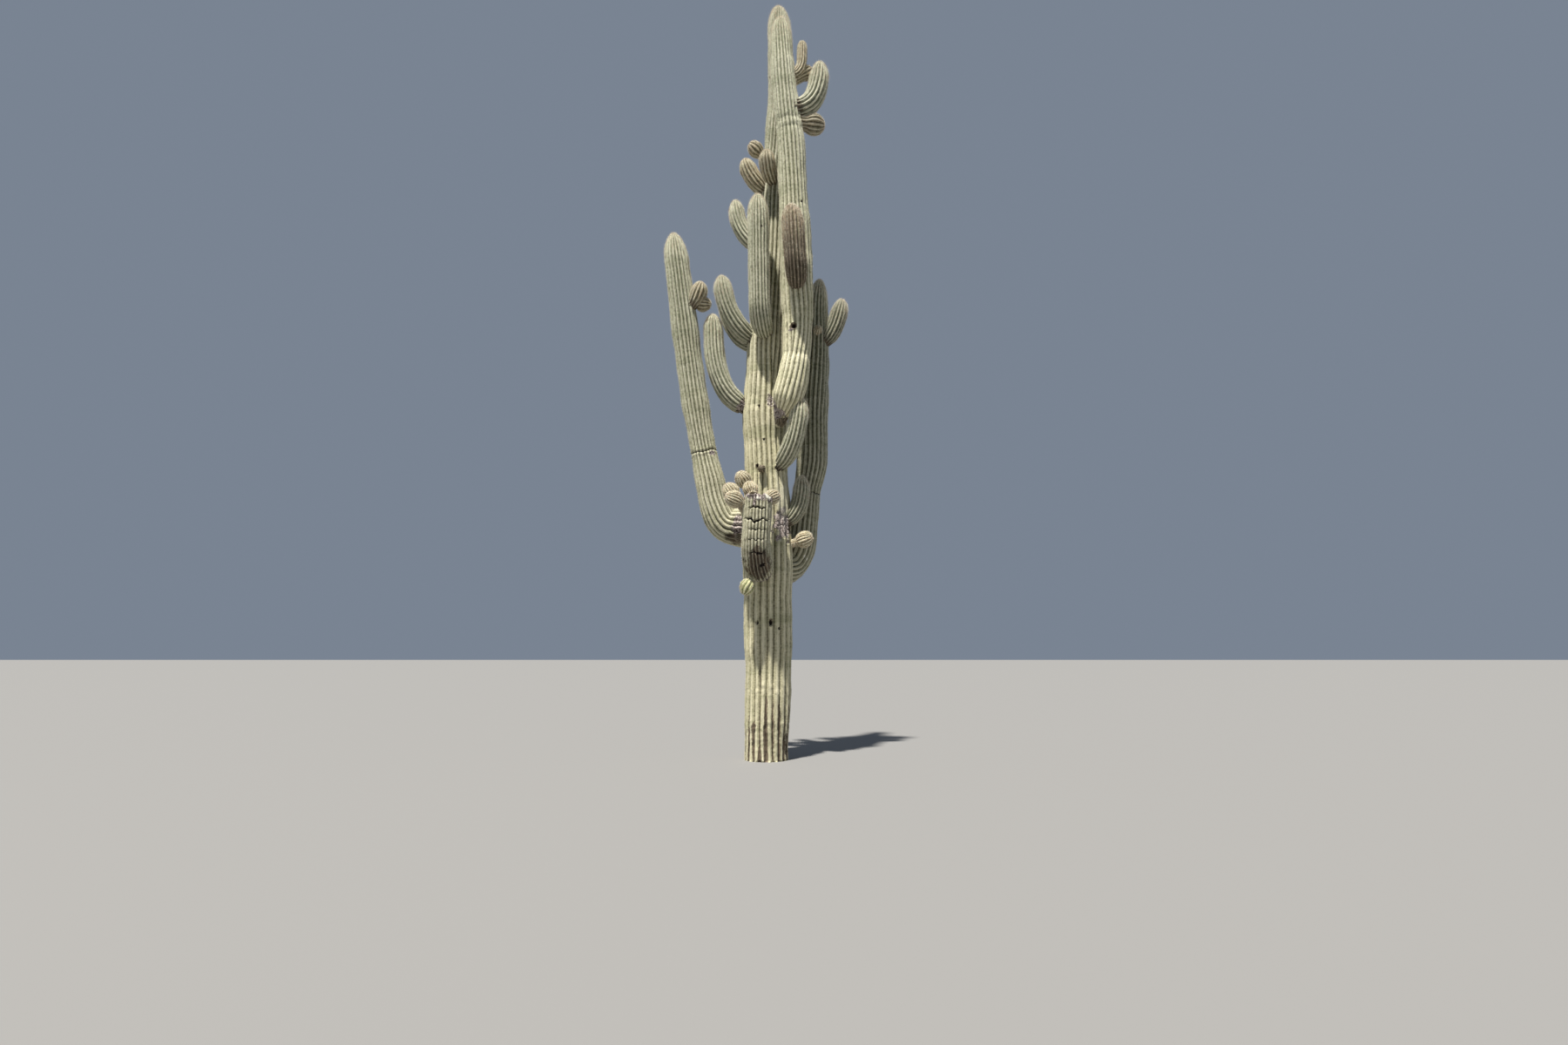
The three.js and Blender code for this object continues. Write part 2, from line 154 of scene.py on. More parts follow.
PUPS = (
    pup("pup_top_behind", "arm_front", 8.005, 26, 38, 0.366, 0.089, 12, neck=0.8, tone=-0.2),
    pup("pup_top_shaded", "arm_front", 7.555, 10, 0, 0.3, 0.124, 13, neck=0.7, tone=-0.45),
    pup("pup_high_small", "trunk", 7.234, 193, 35, 0.362, 0.098, 12, neck=0.7, tone=-0.25),
    pup("pup_left_lobe", "arm_left", 5.562, 358, -6, 0.256, 0.097, 12, neck=0.7, tone=-0.3),
    pup("pup_right_small", "arm_right", 5.256, 275, 4, 0.25, 0.06, 11, tone=-0.2),
    pup("pup_right_ball", "trunk", 2.536, 352, 18, 0.465, 0.106, 16, tone=0.2),
    pup("pup_crown_high", "trunk", 2.909, 222, 50, 0.592, 0.103, 16, tone=0.08),
    pup("pup_crown_left", "arm_stub", 2.75, 167, 54, 0.511, 0.105, 17),
    pup("pup_crown_near", "arm_stub", 2.961, 189, 20, 0.282, 0.104, 17),
    pup("pup_crown_mid", "arm_stub", 2.971, 121, 55, 0.295, 0.093, 16, neck=0.7),
    pup("pup_crown_right", "arm_stub", 3.018, 39, 25, 0.228, 0.093, 16),
    pup("pup_elbow_bud", "trunk", 2.671, 219, 0, 0.42, 0.061, 11, look="bud"),
    pup("pup_front_bud", "trunk", 3.463, 261, 4, 0.304, 0.054, 10, look="bud"),
    pup("pup_stub_foot", "arm_stub", 2.365, 194, -68, 0.316, 0.097, 9, neck=0.4, twist=2.2, look="fresh"),
)


# Scars, cork, holes, cracks, pale crusts, and bands, which are constrictions right round the limb. tall and
# wide are half sizes along the limb and across it, and a band has no ends. A crack's sag is how steeply it
# rises on both sides of its middle, as far as level out. dark is how much painted shade a band's groove gets,
# and share how strong a crust.
def mark(kind, at, tall, deep, wide=math.inf, **more):
    return dict(kind=kind, at=at, tall=tall, deep=deep, wide=wide, **more)


MARKS = {}
MARKS["trunk"] = (
    mark("hole", (0.068, -0.29, 1.659), 0.042, 0.05, 0.02),
    mark("hole", (-0.096, -0.26, 1.648), 0.022, 0.03, 0.013),
    mark("hole", (0.172, -0.25, 1.601), 0.018, 0.03, 0.012),
    mark("hole", (0.166, -0.235, 3.504), 0.03, 0.05, 0.035),
    mark("cork", (-0.262, -0.02, 1.311), 0.05, 0.01, 0.035),
    mark("cork", (-0.242, -0.1, 0.879), 0.035, 0.01, 0.025),
    mark("cork", (-0.145, -0.23, 0.395), 0.08, 0.008, 0.035),
    mark("cork", (-0.009, -0.265, 0.419), 0.035, 0.006, 0.022),
    mark("cork", (0.255, -0.08, 0.2), 0.15, 0.014, 0.07),
    mark("cork", (-0.19, 0.2, 0.3), 0.16, 0.012, 0.08),
    mark("scar", (0.224, -0.19, 2.82), 0.2, 0.014, 0.155),
    mark("hole", (0.32, -0.06, 2.8), 0.05, 0.05, 0.035),
    mark("pale", (0.188, -0.24, 2.65), 0.022, -0.007, 0.026, share=0.3),
    mark("pale", (0.214, -0.18, 3.13), 0.2, -0.003, 0.11, share=0.25),
    mark("hole", (-0.102, -0.252, 3.52), 0.022, 0.03, 0.018),
    mark("hole", (0.026, 0.0, 8.339), 0.014, 0.02, 0.012),
    mark("hole", (-0.014, -0.268, 3.836), 0.015, 0.02, 0.01),
    mark("hole", (-0.076, -0.265, 4.252), 0.014, 0.02, 0.012),
    mark("hole", (0.12, 0.27, 5.2), 0.034, 0.05, 0.03),
    mark("scar", (0.058, -0.248, 4.31), 0.075, 0.006, 0.045),
)
MARKS["arm_front"] = (
    mark("hole", (0.325, -0.5, 5.11), 0.034, 0.06, 0.034),
    mark("scar", (0.29, -0.5, 5.075), 0.022, 0.005, 0.04),
    mark("scar", (0.09, -0.334, 4.229), 0.085, 0.012, 0.095),
    mark("scar", (0.14, -0.35, 4.13), 0.085, 0.014, 0.12),
    mark("cork", (0.195, -0.315, 4.05), 0.07, 0.012, 0.11),
    mark("band", (0.345, -0.49, 4.809), 0.03, 0.006, dark=0.0),
    mark("band", (0.274, -0.52, 7.545), 0.025, 0.004, dark=0.1),
    mark("band", (0.274, -0.52, 7.43), 0.018, 0.003, dark=0.06),
    mark("hole", (0.441, -0.5, 6.54), 0.014, 0.02, 0.012),
)
MARKS["arm_left"] = (
    mark("band", (-0.642, -0.19, 3.753), 0.011, 0.012, dark=0.8),
    mark("scar", (-0.61, -0.19, 3.715), 0.035, 0.006, 0.05),
    mark("band", (-1.101, -0.19, 6.069), 0.008, 0.008, dark=0.7),
    mark("scar", (-0.327, -0.211, 2.819), 0.075, 0.012, 0.175),
    mark("cork", (-0.33, -0.19, 2.66), 0.105, 0.01, 0.11),
)
MARKS["arm_right"] = (
    mark("pale", (0.482, 0.108, 2.492), 0.016, 0.004, 0.017),
    mark("pale", (0.504, 0.146, 2.461), 0.014, 0.004, 0.015),
    mark("crack", (0.636, 0.21, 3.286), 0.008, 0.018, 0.1, sag=0.2),
)
MARKS["arm_lower_left"] = (
    mark("scar", (-0.29, -0.14, 4.27), 0.045, 0.008, 0.07),
)
MARKS["arm_centre"] = (
    mark("hole", (-0.029, -0.56, 6.235), 0.012, 0.02, 0.01),
)
MARKS["arm_stub"] = (
    mark("crack", (-0.08, -0.773, 2.945), 0.011, 0.03, 0.105, sag=-0.1),
    mark("crack", (-0.105, -0.77, 2.775), 0.012, 0.03, 0.155, sag=0.6, level=0.08),
    mark("crack", (-0.076, -0.758, 2.709), 0.006, 0.015, 0.135, sag=0.0),
    mark("crack", (-0.081, -0.756, 2.587), 0.006, 0.013, 0.1, sag=0.0),
    mark("crack", (-0.073, -0.711, 2.427), 0.009, 0.02, 0.1, sag=0.1),
    mark("cork", (-0.03, -0.69, 2.35), 0.115, 0.006, 0.15),
    mark("cork", (-0.05, -0.6, 2.23), 0.11, 0.012, 0.17),
    mark("hole", (-0.015, -0.635, 2.301), 0.022, 0.025, 0.055),
    mark("scar", (-0.111, -0.752, 3.012), 0.06, 0.008, 0.022),
    mark("pale", (-0.066, -0.765, 3.06), 0.022, -0.012, 0.026),
    mark("pale", (0.051, -0.695, 3.06), 0.02, -0.012, 0.04),
)

# The skins.

SAMPLES = 24  # points taken on each stretch of a centreline
CREST_INSET = 0.006  # how far the rib crests lie inside the solid, which leaves room for the spines
ROW_STEP = 0.055  # from one row of vertices to the next
FINE_STEP = 0.008  # the same near a scar, hole or crack
DOME_ROWS = 14  # rows on a rounded tip
BALL_ROWS = 7  # rows on a pup in the length of its radius
RIB_PLACES = np.array([0.0, 0.06, 0.17, 0.32, 0.5, 0.68, 0.83, 0.94])  # columns across one rib, groove first
RIB_DEPTH = 0.155  # how far the grooves lie inside the crests, as a share of the radius
SHALLOWER = 0.35  # the share of that depth which old skin has lost
RIB_ROUND = 1.7  # the power that shapes a rib's section
ROUNDER = 0.9  # what age adds to it
RIB_GROW = 0.7  # stretch in which a rib that starts part of the way up comes to its full width
RIB_STRAY = 0.07  # how unevenly the ribs share the way round
RIB_WANDER = 0.03  # how far all the ribs of a limb sway round it, in radians
SUNK = 0.1  # how far a limb's skin starts inside the stem that carries it
OLD_AT = 6.0  # distance below the tip at which the skin counts as old
ROOT_RING = 0.03  # how far the brown ring at a limb's root reaches along it
RING_CORK = 0.8  # how corky that ring is
FOOT_CORK = 1.3  # height that the corky streaks at the foot reach
BANDS = 0.01  # the swelling and shrinking of a limb that gives none
UNEVEN = 0.005  # height of the skin's long waves
FINE_UNEVEN = 0.002  # height of its short ones
MARK_STRAY = 0.012  # how far a crack or band wanders from its line
MARK_RIPPLE = 0.006  # its finer ripple
TORN = 0.022  # how far the stub's break rises and sinks
WAVE_LAYERS = 3
WAVES_EACH = 5  # waves in a layer
WAVE_FADE = 0.6  # a layer's strength as a share of the one before
WAVE_SUM = 1.6 * WAVE_LAYERS  # brings the sum of the waves mostly within -1 to 1


def smooth(low, high, value):
    """A soft step from 0 at low to 1 at high."""
    share = np.clip((value - low) / (high - low), 0.0, 1.0)
    return share * share * (3.0 - 2.0 * share)


def waves(seed, places, size):
    """Smooth seeded unevenness, mostly within -1 to 1, at places; size is the length of its longest waves."""
    random = np.random.default_rng(seed)
    total = np.zeros(places.shape[:-1])
    for layer in range(WAVE_LAYERS):
        for _ in range(WAVES_EACH):
            heading = random.normal(size=3)
            heading *= math.tau * 2**layer / size / np.linalg.norm(heading)
            total += WAVE_FADE**layer * np.sin(places @ heading + random.uniform(0.0, math.tau))
    return total / WAVE_SUM


def unit(vectors):
    return vectors / np.maximum(np.linalg.norm(vectors, axis=-1, keepdims=True), 1e-12)


def direction(bearing, pitch=0.0):
    b, p = math.radians(bearing), math.radians(pitch)
    return np.array([math.cos(b) * math.cos(p), math.sin(b) * math.cos(p), math.sin(p)])


def ways_along(line):
    """How far along a line each of its points is."""
    return np.concatenate([[0.0], np.cumsum(np.linalg.norm(np.diff(line, axis=0), axis=1))])


def between(ways, known, values):
    """Rows of values, known at some ways, at other ways between them."""
    return np.stack([np.interp(ways, known, column) for column in values.T], axis=-1)


def catmull_rom(knots, samples):
    """Points on the centripetal curve through knots, samples to a stretch."""
    padded = np.vstack([2 * knots[0] - knots[1], knots, 2 * knots[-1] - knots[-2]])
    t = np.linspace(0.0, 1.0, samples, endpoint=False)[:, None]
    points = []
    for p0, p1, p2, p3 in zip(padded, padded[1:], padded[2:], padded[3:]):
        d0, d1, d2 = (math.sqrt(np.linalg.norm(b - a)) for a, b in ((p0, p1), (p1, p2), (p2, p3)))
        leave = ((p1 - p0) / d0 - (p2 - p0) / (d0 + d1) + (p2 - p1) / d1) * d1
        arrive = ((p2 - p1) / d1 - (p3 - p1) / (d1 + d2) + (p3 - p2) / d2) * d1
        square = -3 * p1 + 3 * p2 - 2 * leave - arrive
        cube = 2 * p1 - 2 * p2 + leave + arrive
        points.append(p1 + leave * t + square * t**2 + cube * t**3)
    return np.vstack([*points, knots[-1]])


class Limb:
    """A stem: its centreline as close points, with the way along it and the body radius at each.

    emerge is the way at which it comes out of the stem that carries it. Up to neck_end it has only a share,
    neck, of its radius, and it swells to all of it in the stretch swell beyond. A ball swells as a sphere.
    """

    def __init__(self, spec, points, radii, emerge=0.0, neck=1.0, neck_end=0.0, swell=1.0, ball=False):
        self.name, self.spec = spec["name"], spec
        self.points, self.radii = points, radii
        self.emerge = emerge
        self.start = max(0.0, emerge - SUNK)
        self.look = spec.get("look", "young" if self.name.startswith("pup_") else "plain")
        self.lost = spec.get("lost", 0.0)
        self.neck, self.neck_end, self.swell, self.ball = neck, neck_end, swell, ball
        self.along = ways_along(points)
        self.length = self.along[-1]
        self.dome_start = self.length - spec.get("dome", PUP_TIP) * radii[-1]
        padded = np.vstack([points[:1], points, points[-1:]])
        self.headings = padded[2:] - padded[:-2]
        self.seed = sum(ord(letter) * (i + 7) for i, letter in enumerate(self.name))

    def radius(self, ways):
        """The radius over the crests: rounded off at the tip and narrowed to the neck at the root."""
        body = np.interp(ways, self.along, self.radii)
        dome = (self.length - ways) / (self.length - self.dome_start)
        tipward = np.sqrt(1.0 - (1.0 - np.clip(dome, 0.0, 1.0)) ** 2)
        grown = np.sqrt(1.0 - (1.0 - np.clip((ways - self.neck_end) / self.swell, 0.0, 1.0)) ** 2)
        swollen = np.maximum(self.neck, grown) if self.ball else self.neck + (1.0 - self.neck) * grown
        return body * tipward * swollen

    def axes(self, ways):
        """The point, heading and cross-section axes at each way: +Z turned the shortest way onto the line."""
        heading = unit(between(ways, self.along, self.headings))
        x, y, z = heading.T
        side = np.stack([1 - x * x / (1 + z), -x * y / (1 + z), -x], axis=-1)
        front = np.stack([-x * y / (1 + z), 1 - y * y / (1 + z), -y], axis=-1)
        return between(ways, self.along, self.points), heading, side, front

    def way_at_height(self, height):
        """The way at a height on the centreline, on its last run up to the tip, and the radius there."""
        below = np.nonzero(self.points[:, 2] <= height)[0]
        i = min(below[-1], len(self.points) - 2) if len(below) else 0
        low, high = self.points[i, 2], self.points[i + 1, 2]
        share = np.clip((height - low) / (high - low), 0.0, 1.0) if high > low else 0.0
        return self.along[i] + share * (self.along[i + 1] - self.along[i]), self.radii[i]

    def root_for(self, spec):
        """Where a stem leaves the centreline, and how far in from the surface that is."""
        way, surface = self.way_at_height(spec["at"])
        return between(np.array([way]), self.along, self.points)[0], surface

    def nearest_way(self, place):
        return self.along[np.argmin(np.linalg.norm(self.points - np.asarray(place), axis=1))]

    def below_tip(self, ways):
        """How far each way lies below the tip, counting what the stem has lost."""
        return self.length + self.lost - ways


def station_limb(spec):
    stations = np.array(spec["stations"])
    points = catmull_rom(stations[:, [1, 2, 0]], SAMPLES)
    steps = np.arange(len(points)) / SAMPLES
    radii = np.interp(steps, np.arange(len(stations)), stations[:, 3])
    return Limb(spec, points, radii)


def arm_limb(spec, parent):
    outward, across = direction(spec["bearing"]), direction(spec["bearing"] + 90)
    root, surface = parent.root_for(spec)
    up = np.array([0.0, 0.0, 1.0])
    corner = root + outward * spec["reach"] + up * spec["lift"]
    tip = corner + outward * spec["out"] + across * spec["side"] + up * spec["rise"]
    bend_end = corner + (tip - corner) * spec["bend"]
    t = np.linspace(0.0, 1.0, 2 * SAMPLES + 1)[:, None]
    points = (1 - t) ** 2 * root + 2 * t * (1 - t) * corner + t**2 * bend_end
    if spec["bend"] < 1:
        straight = np.linspace(0.0, 1.0, SAMPLES + 1)[1:, None]
        points = np.vstack([points, bend_end + (tip - bend_end) * straight])
    radii = spec["radius"] * np.linspace(1.0, ARM_TAPER, len(points))
    neck = spec.get("neck", ARM_NECK)
    return Limb(spec, points, radii, surface, neck, surface, ARM_SWELL * spec["radius"])


def pup_limb(spec, parent):
    root, surface = parent.root_for(spec)
    length = spec["stand"] + PUP_TIP * spec["radius"]
    line = np.linspace(0.0, length, SAMPLES + 1)[:, None]
    points = root + direction(spec["bearing"], spec["pitch"]) * line
    neck_end = spec["stand"] - spec["radius"]
    emerge = min(surface / math.cos(math.radians(spec["pitch"])), spec["stand"])
    radii = np.full(len(points), spec["radius"])
    neck = spec.get("neck", PUP_NECK)
    return Limb(spec, points, radii, emerge, neck, neck_end, spec["radius"], ball=True)


def grow_limbs():
    limbs = {spec["name"]: station_limb(spec) for spec in (TRUNK, *GREAT_ARMS)}
    for spec in (*ARMS, STUB, *YOUNG_ARMS):
        limbs[spec["name"]] = arm_limb(spec, limbs[spec["on"]])
    for spec in PUPS:
        limbs[spec["name"]] = pup_limb(spec, limbs[spec["on"]])
    trunk = limbs["trunk"]
    trunk.start = trunk.way_at_height(0.0)[0] - 0.01
    return limbs


def row_ways(limb):
    """The ways along a limb that get a row of vertices: closer at its marks and on its tip."""
    body = limb.dome_start - limb.start
    step = limb.radii[-1] / BALL_ROWS if limb.ball else ROW_STEP
    ways = [np.linspace(limb.start, limb.dome_start, max(4, int(body / step)))]
    for spec in MARKS.get(limb.name, ()):
        middle, reach = limb.nearest_way(spec["at"]), 1.5 * spec["tall"] + spec.get("level", 0.02)
        step = FINE_STEP if spec["kind"] in ("crack", "band") else max(FINE_STEP, spec["tall"] / 5)
        ways.append(np.arange(middle - reach, middle + reach, step))
    turn = np.linspace(0.0, math.pi / 2, DOME_ROWS + 1)[1:-1]
    ways = np.sort(np.concatenate(ways))
    ways = ways[(ways >= limb.start) & (ways <= limb.dome_start)]
    kept = [ways[0]]
    for way in ways[1:]:
        if way - kept[-1] > 0.7 * FINE_STEP:
            kept.append(way)
    return np.concatenate([kept, limb.dome_start + (limb.length - limb.dome_start) * np.sin(turn)])


def rib_widths(limb, ways, random):
    """Each rib's share of the way round, row by row, and its width before the ribs share out the round."""
    starts = [None] * limb.spec["ribs"]
    for after, height in sorted(limb.spec.get("later", ()), reverse=True):
        starts.insert(after, limb.way_at_height(height)[0])
    widths = np.ones((len(ways), len(starts)))
    for rib, start in enumerate(starts):
        phase, pace = random.uniform(0.0, 6.3), random.uniform(2.0, 5.0)
        widths[:, rib] += RIB_STRAY * np.sin(ways * pace + phase) + random.uniform(-RIB_STRAY, RIB_STRAY)
        if start is not None:
            widths[:, rib] *= smooth(0.0, RIB_GROW, ways - start)
    return widths / widths.sum(axis=1, keepdims=True), widths


def rib_layout(limb, ways, ages):
    """For each column in each row its angle, its height, and its place from groove (0) to crest (1)."""
    random = np.random.default_rng(limb.seed)
    shares, widths = rib_widths(limb, ways, random)
    edges = np.concatenate([np.zeros((len(ways), 1)), np.cumsum(shares, axis=1)[:, :-1]], axis=1)
    sway = RIB_WANDER * np.sin(ways * 2.3 + random.uniform(0, 6.3)) + limb.spec.get("twist", 0.0) * ways
    turns = edges[:, :, None] + shares[:, :, None] * RIB_PLACES
    angles = turns * math.tau + sway[:, None, None] + random.uniform(0.0, 6.3)
    from_crest = np.abs(2.0 * RIB_PLACES - 1.0)
    lobe = 1.0 - from_crest ** (RIB_ROUND + ROUNDER * ages[:, None, None])
    full = np.minimum(1.0, widths / 0.8)[:, :, None] ** 0.6  # a rib that just starts is low as well as narrow
    return [part.reshape(len(ways), -1) for part in (angles, lobe * full, (1.0 - from_crest) * full)]


def raise_to(skin, key, value):
    """Makes a share that the material reads at least value."""
    skin[key] = np.maximum(skin[key], value)


class Spot:
    """A limb's vertices as one mark sees them: how far along and across they are, and which face its way."""

    def __init__(self, spec, limb, skin):
        way = limb.nearest_way(spec["at"])
        heading = limb.axes(np.array([way]))[1][0]
        place = np.asarray(spec["at"]) - skin["middles"][np.argmin(np.abs(skin["ways"] - way))]
        outward = unit(place - heading * (place @ heading))
        self.seed = limb.seed
        self.along = (skin["ways"] - way)[:, None] + np.zeros(skin["push"].shape)
        self.across = (skin["base"] - np.asarray(spec["at"])) @ np.cross(heading, outward)
        self.facing = (skin["outward"] @ outward) > 0.0
        self.ragged = waves(limb.seed + int(way * 1000), skin["base"], 0.12)
        self.reach = np.sqrt((self.along / spec["tall"]) ** 2 + (self.across / spec["wide"]) ** 2)


def add_band(skin, spec, spot):
    """A groove right round the limb between two low lips, with painted shade in the groove."""
    tall, deep, dark = spec["tall"], spec["deep"], spec["dark"]
    along = spot.along + MARK_STRAY * np.sin(3.0 * skin["angles"]) + MARK_RIPPLE * spot.ragged
    groove = np.exp(-((along / tall) ** 2))
    lips = np.exp(-(((np.abs(along) - 2.4 * tall) / (1.3 * tall)) ** 2))
    skin["push"] += 0.35 * deep * lips - deep * groove
    # painted shade in the groove
    raise_to(skin, "hollow_shade", dark * groove**2)
    raise_to(skin, "cork", 0.4 * dark * lips)


def add_crack(skin, spec, spot):
    """A split across the ribs, thinner towards its ends, with painted shade along it."""
    wide, across = spec["wide"], spot.across
    path = spec["sag"] * np.minimum(np.abs(across), spec.get("level", 1.0))
    path = path + MARK_STRAY * spot.ragged + MARK_RIPPLE * np.sin(across * 90.0)
    thick = spec["tall"] * np.sqrt(np.clip(1.0 - (across / wide) ** 2, 0.0, 1.0)) + 1e-4
    groove = spot.facing * np.exp(-(((spot.along - path) / thick) ** 2)) * (np.abs(across) < wide)
    skin["push"] -= spec["deep"] * groove
    # painted shade in the split
    raise_to(skin, "hollow_shade", smooth(0.15, 0.7, groove))


def add_hole(skin, spec, spot):
    """A bowl with painted shade in it and a raised corky rim, as a bird or an insect leaves it."""
    facing, reach = spot.facing, spot.reach
    bowl = facing * smooth(1.05, 0.55, reach)
    rim = facing * np.exp(-(((reach - 1.2) / 0.25) ** 2))
    skin["push"] += 0.12 * spec["deep"] * rim - spec["deep"] * bowl
    # painted shade inside the bowl
    raise_to(skin, "hollow_shade", facing * smooth(1.0, 0.7, reach))
    raise_to(skin, "cork", 0.8 * facing * smooth(1.6, 1.1, reach))


def add_crust(skin, spec, spot):
    """A pale crust, or a pale bump where its depth is less than nothing."""
    crust = spot.facing * smooth(1.2, 0.8, spot.reach + 0.25 * spot.ragged)
    skin["push"] -= spec["deep"] * crust
    raise_to(skin, "pale", spec.get("share", 1.0) * crust)


def add_patch(skin, spec, spot):
    """A sunken, lumpy patch of scar or cork, with painted shade in its low pits."""
    patch = spot.facing * smooth(1.3, 0.55, spot.reach + 0.38 * spot.ragged)
    lumps = waves(spot.seed + 5, skin["base"], 0.05)
    skin["push"] += patch * spec["deep"] * (0.9 * lumps - 0.55)
    raise_to(skin, spec["kind"], patch)
    # painted shade where the lumps sink
    raise_to(skin, "hollow_shade", 0.5 * patch * smooth(0.45, 0.9, -lumps))


MARK_MAKERS = {
    "band": add_band, "crack": add_crack, "hole": add_hole, "pale": add_crust, "scar": add_patch,
    "cork": add_patch,
}


def break_top(limb, skin):
    """Makes the stub's flat top a sunken, corky break with a ragged rim and painted shade in its low spots.
    """
    inside = 1.0 - limb.radius(skin["ways"]) / limb.radii[-1]
    torn = waves(limb.seed + 3, skin["base"], 0.11)
    crust = smooth(0.0, 0.12, inside)[:, None]
    below = (limb.dome_start - skin["ways"])[:, None]
    ragged_edge = smooth(0.075, 0.03, below + 0.05 * torn)
    skin["lift"] += crust * TORN * torn - TORN * smooth(0.15, 0.6, inside)[:, None]
    skin["lift"] += 0.014 * smooth(0.05, 0.0, below) * torn
    skin["push"] -= 0.010 * ragged_edge * (torn > 0.1)
    raise_to(skin, "scar", np.maximum(crust, ragged_edge))
    # painted shade in the low spots of the break
    raise_to(skin, "hollow_shade", crust * smooth(0.15, 0.6, -torn))


def add_foot_cork(limb, skin):
    """Corky streaks that run up beside the grooves from the ground, and a few spots above them."""
    streaks = waves(limb.seed + 6, skin["base"] * (1.0, 1.0, 0.22), 0.16)
    reach = smooth(FOOT_CORK, 0.0, skin["base"][..., 2]) ** 0.7 * (1.0 - 0.95 * skin["ridge"])
    raise_to(skin, "cork", smooth(0.3, 0.75, reach + 0.4 * streaks))


def add_root_ring(limb, skin):
    """The corky ring where an arm leaves the stem that carries it."""
    ring = smooth(limb.spec.get("root_ring", ROOT_RING), 0.0, skin["ways"] - limb.emerge)[:, None]
    ring = smooth(0.35, 0.9, ring + 0.3 * waves(limb.seed + 9, skin["base"], 0.1))
    raise_to(skin, "cork", RING_CORK * ring)


def banded_radii(limb, ways):
    """The radius over the crests, inside the solid's, with slow swellings along the limb."""
    share = limb.spec.get("bands", BANDS)
    radii = limb.radius(ways)
    bands = share * (np.sin(ways * 7.1 + limb.seed) + 0.6 * np.sin(ways * 13.7)) - 0.01
    inset = CREST_INSET * np.minimum(1.0, radii / 0.05)
    return (radii - inset) * (1.0 + bands - 0.5 * share)


def skin_points(limb, skin, radii, depth, heading):
    """Every vertex, with the ribs, the marks and the skin's own unevenness."""
    uneven = UNEVEN * waves(limb.seed + 1, skin["base"], 0.22)
    uneven = uneven + FINE_UNEVEN * waves(limb.seed + 2, skin["base"], 0.05)
    ribbed = radii[:, None] * (1.0 - depth[:, None] * (1.0 - skin["crest"]))
    small = np.minimum(1.0, radii / 0.06)[:, None]
    radial = np.maximum(ribbed + small * (uneven + skin["push"]), 0.002)
    points = skin["middles"][:, None] + skin["outward"] * radial[..., None]
    points = points + heading[:, None] * skin["lift"][..., None]
    points[..., 2] = np.maximum(points[..., 2], 0.0)
    return points


def make_skin(limb):
    """The grid of a limb's skin, row by row, with what its material reads at each vertex."""
    ways = row_ways(limb)
    ages = np.clip(limb.below_tip(ways) / OLD_AT, 0.0, 1.0)
    angles, crest, ridge = rib_layout(limb, ways, ages)
    middles, heading, side, front = limb.axes(ways)
    outward = side[:, None] * np.cos(angles)[..., None] + front[:, None] * np.sin(angles)[..., None]
    radii = banded_radii(limb, ways)
    skin = dict(ways=ways, angles=angles, crest=crest, ridge=ridge, middles=middles, outward=outward)
    skin["base"] = middles[:, None] + outward * radii[:, None, None]
    for key in ("push", "lift", "scar", "cork", "hollow_shade", "pale"):
        skin[key] = np.zeros(angles.shape)
    for spec in MARKS.get(limb.name, ()):
        MARK_MAKERS[spec["kind"]](skin, spec, Spot(spec, limb, skin))
    if limb.name == STUB["name"]:
        break_top(limb, skin)
    if "on" not in limb.spec:
        add_foot_cork(limb, skin)
    elif not limb.ball:
        add_root_ring(limb, skin)
    skin["points"] = skin_points(limb, skin, radii, RIB_DEPTH * (1.0 - SHALLOWER * ages), heading)
    flat = (np.cos(angles) * radii[:, None], np.sin(angles) * radii[:, None])
    skin["straight"] = np.stack([*flat, np.broadcast_to(ways[:, None], angles.shape)], axis=-1)
    skin["age"] = np.broadcast_to(ages[:, None], angles.shape)
    below = limb.below_tip(ways)[:, None]
    pale_tip = 1.3 * smooth(0.55, 0.15, below) if limb.look == "brown" else 0.22 * smooth(0.9, 0.1, below)
    # tone is partly the limb's own colour and partly painted shade on the shaded limbs and painted light on
    # the lit ones
    skin["tone"] = np.broadcast_to(1.0 + limb.spec.get("tone", 0.0) + pale_tip, angles.shape)
    return skin


def put(name, data, place=(0.0, 0.0, 0.0)):
    """A new object in the scene."""
    thing = bpy.data.objects.new(name, data)
    thing.location = place
    bpy.context.scene.collection.objects.link(thing)
    return thing


def add_mesh(name, vertices, corners, sizes, material, smooth_faces=True):
    """A mesh object from vertices, the corners of its faces in one row, and how many corners each has."""
    mesh = bpy.data.meshes.new(name)
    mesh.vertices.add(len(vertices))
    mesh.vertices.foreach_set("co", np.asarray(vertices, np.float32).ravel())
    mesh.loops.add(len(corners))
    mesh.loops.foreach_set("vertex_index", np.asarray(corners, np.int32))
    mesh.polygons.add(len(sizes))
    mesh.polygons.foreach_set("loop_start", np.concatenate([[0], np.cumsum(sizes)[:-1]]).astype(np.int32))
    mesh.polygons.foreach_set("use_smooth", np.full(len(sizes), smooth_faces))
    mesh.materials.append(material)
    mesh.update(calc_edges=True)
    mesh.validate()
    return put(name, mesh)


def grid_faces(rows, columns):
    """The four-cornered faces of a closed grid and the three-cornered ones to the foot and tip vertices."""
    here = np.arange(rows * columns).reshape(rows, columns)
    beside = np.roll(here, -1, axis=1)
    quads = np.stack([here[:-1], beside[:-1], beside[1:], here[1:]], axis=-1).reshape(-1, 4)
    foot, tip = np.full(columns, here.size), np.full(columns, here.size + 1)
    foot_fan = np.stack([foot, beside[0], here[0]], axis=-1)
    tip_fan = np.stack([tip, here[-1], beside[-1]], axis=-1)
    return quads, np.vstack([foot_fan, tip_fan])


